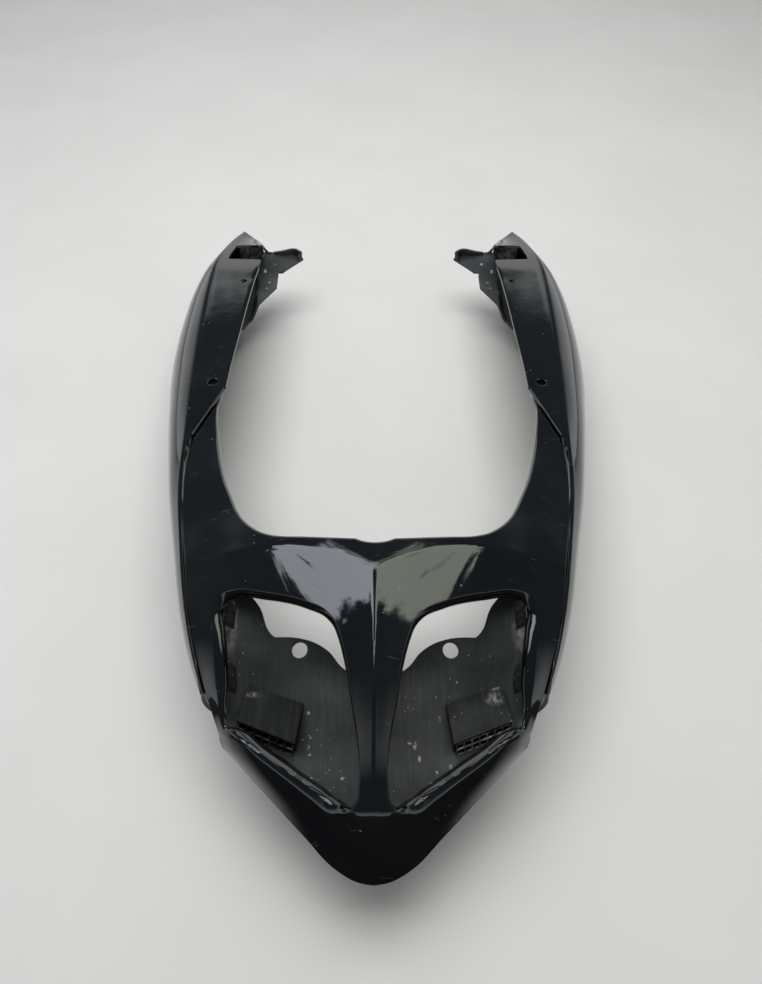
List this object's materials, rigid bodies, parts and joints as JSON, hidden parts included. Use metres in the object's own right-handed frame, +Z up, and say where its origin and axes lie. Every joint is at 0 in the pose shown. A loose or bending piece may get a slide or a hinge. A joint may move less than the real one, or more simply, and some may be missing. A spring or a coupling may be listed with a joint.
{
  "type": "motorcycle tail fairing",
  "caption": "U-shaped rear seat fairing of a motorcycle: glossy pointed tail cowl with light openings over an undertray, between long bulged side panels with front brackets.",
  "frame": {"origin": "centre of the bounding box in plan, at the height of the side panels' bottom edges, on which it rests", "axes": "+Z up, -Y towards the tail tip, +Y towards the tips of the arms, X = 0 is the plane of symmetry"},
  "size_m": [0.355, 0.5834, 0.1315],
  "materials": {
    "tail_cowl": "gloss black, clear coated",
    "side_panel_left": "gloss black, clear coated",
    "side_panel_right": "gloss black, clear coated",
    "undertray": "dull black, scuffed",
    "front_bracket_left": "dull black, dusty",
    "front_bracket_right": "dull black, dusty",
    "vent_grille_left": "dull grey",
    "vent_grille_right": "dull grey",
    "bond_front_left": "rough black adhesive",
    "bond_front_right": "rough black adhesive",
    "bond_rear_left": "rough black adhesive",
    "bond_rear_right": "rough black adhesive"
  },
  "bodies": {
    "root": {"tail_cowl": "tail_cowl", "side_panel_left": "side_panel_left", "side_panel_right": "side_panel_right", "undertray": "undertray", "front_bracket_left": "front_bracket_left", "front_bracket_right": "front_bracket_right", "vent_grille_left": "vent_grille_left", "vent_grille_right": "vent_grille_right", "bond_front_left": "bond_front_left", "bond_front_right": "bond_front_right", "bond_rear_left": "bond_rear_left", "bond_rear_right": "bond_rear_right"}
  },
  "joints": []
}
